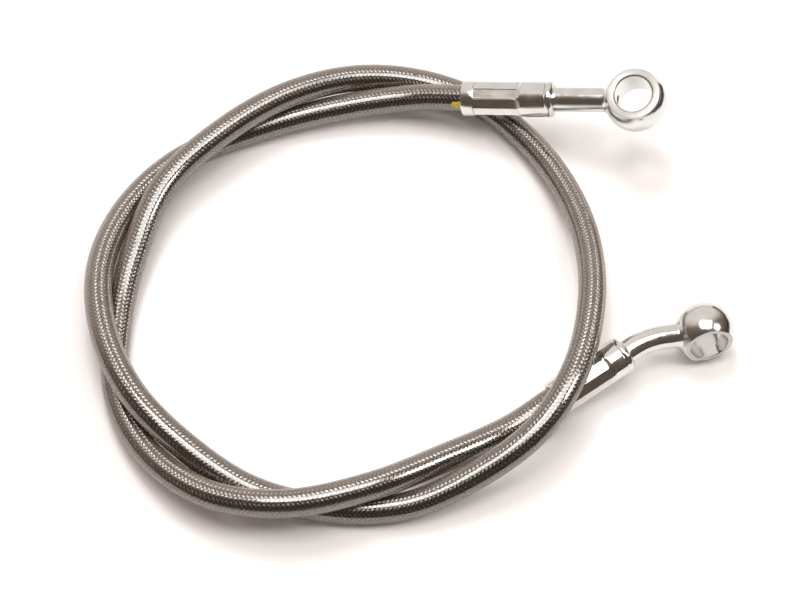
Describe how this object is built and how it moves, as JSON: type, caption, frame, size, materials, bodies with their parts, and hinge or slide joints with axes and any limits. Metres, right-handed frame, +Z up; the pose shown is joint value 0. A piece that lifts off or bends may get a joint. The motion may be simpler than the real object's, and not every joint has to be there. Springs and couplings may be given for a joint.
{
  "type": "brake hose",
  "caption": "Flexible braided brake hose under a clear jacket, lying in a loose loop, with a crimped ferrule and a banjo eye at each end, one neck straight and one bent.",
  "frame": {"origin": "on the bench surface, midway between the outermost points of the two end fittings", "axes": "+Z up from the bench, +Y from the bent end's fitting towards the straight end's fitting, +X away from the hose loop"},
  "size_m": [0.1742, 0.1425, 0.0297],
  "materials": {
    "liner": "smooth off-white fluoropolymer tube",
    "braid": "fine herringbone braid of bright stainless wires",
    "jacket": "thin clear glossy sleeve over the braid",
    "plated_steel": "bright plated steel with fine turning marks on the seats"
  },
  "bodies": {
    "root": {"hose_liner": "liner", "hose_braid": "braid", "hose_jacket": "jacket", "straight_end_ferrule": "plated_steel", "straight_end_neck": "plated_steel", "straight_end_braze_ring": "plated_steel", "straight_end_banjo_eye": "plated_steel", "bent_end_ferrule": "plated_steel", "bent_end_neck": "plated_steel", "bent_end_braze_ring": "plated_steel", "bent_end_banjo_eye": "plated_steel"}
  },
  "joints": []
}
